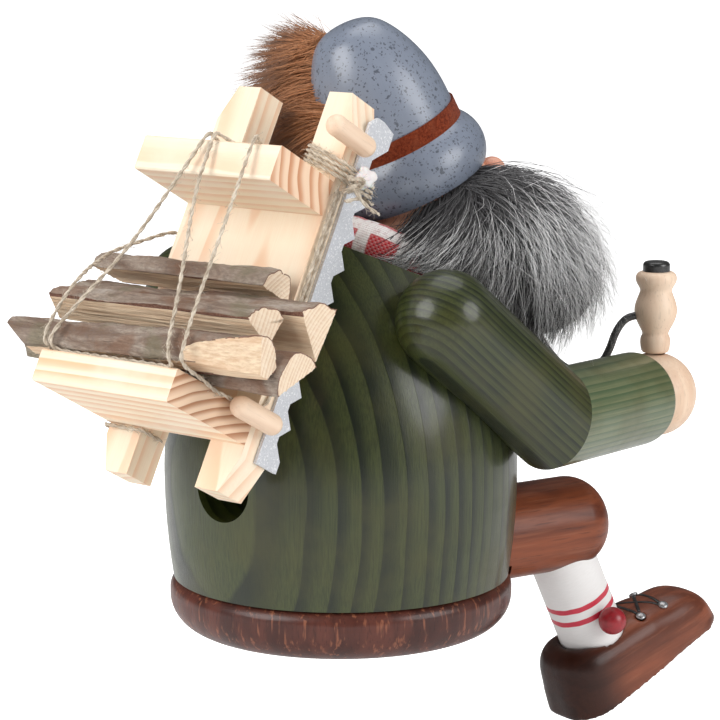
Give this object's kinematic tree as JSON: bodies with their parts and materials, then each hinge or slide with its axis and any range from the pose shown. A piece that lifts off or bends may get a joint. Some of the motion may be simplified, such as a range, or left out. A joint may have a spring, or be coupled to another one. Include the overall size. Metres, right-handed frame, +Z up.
{
  "type": "incense smoker",
  "caption": "Turned wooden figure that hides a burning incense cone, sits on a shelf's edge with a load of tied firewood on its back and blows smoke from its mouth.",
  "frame": {"origin": "centre of the base disc's flat underside, where the figure sits on the shelf", "axes": "+Z up, the figure's chest faces -Y, its left side is +X"},
  "size_m": [0.1247, 0.2009, 0.1897],
  "materials": {
    "wood_brown": "brown stain under satin lacquer, open grain",
    "wood_green": "green stain under satin lacquer, strong softwood grain",
    "wood_grey": "blue-grey stain with dark pore flecks, satin lacquer",
    "wood_pale": "bare fine-grained hardwood, thin clear lacquer",
    "pine": "bare planed softwood",
    "bark_wood": "split branch wood with rough bark",
    "dish_metal": "plain sheet metal",
    "eye_black": "black gloss paint",
    "band_leather": "brown-red suede",
    "plume_fur": "brown fur",
    "scarf_cloth": "woven cloth, red and white",
    "beard_fur": "dark grey fur with white tips",
    "lid_black": "black paint on wood",
    "stem_wire": "dark wire",
    "saw_silver": "silver speckled paint",
    "linen_twine": "undyed twisted linen",
    "sock_white": "white paint on wood with two red rings",
    "pompom_red": "red paint on a wooden bead",
    "eyelet_steel": "bright steel nail heads"
  },
  "bodies": {
    "base": {"base_disc": "wood_brown", "incense_dish": "dish_metal", "dish_nail": "dish_metal"},
    "figure": {"body_shell": "wood_green", "head": "wood_pale", "nose": "wood_pale", "eyes": "eye_black", "hat": "wood_grey", "hat_band": "band_leather", "hat_plume": "plume_fur", "scarf": "scarf_cloth", "beard": "beard_fur", "pipe_bowl": "wood_pale", "pipe_lid": "lid_black", "pipe_stem": "stem_wire", "carrier_board": "pine", "carrier_plank": "pine", "carrier_shelf": "pine", "carrier_dowel": "wood_pale", "saw_blade": "saw_silver", "saw_handle_upper": "wood_pale", "saw_handle_lower": "wood_pale", "log_lashing": "linen_twine", "side_lashing": "linen_twine", "post_lashing": "linen_twine", "twine_knot": "linen_twine", "log_front": "bark_wood", "log_middle": "bark_wood", "log_under": "bark_wood", "log_rear": "bark_wood", "log_top": "bark_wood", "right_upper_arm": "wood_green", "right_forearm": "wood_green", "right_hand": "wood_pale", "right_shoulder_dowel": "wood_pale", "right_elbow_dowel": "wood_pale", "right_thigh": "wood_brown", "right_sock": "sock_white", "right_boot": "wood_brown", "right_pompom": "pompom_red", "right_boot_eyelets": "eyelet_steel", "left_upper_arm": "wood_green", "left_forearm": "wood_green", "left_hand": "wood_pale", "left_shoulder_dowel": "wood_pale", "left_elbow_dowel": "wood_pale", "left_thigh": "wood_brown", "left_sock": "sock_white", "left_boot": "wood_brown", "left_pompom": "pompom_red", "left_boot_eyelets": "eyelet_steel"}
  },
  "joints": [
    {"name": "figure_lift", "type": "slide", "parent": "base", "child": "figure", "axis": [0, 0, 1], "range_m": [0, 0.06]}
  ]
}
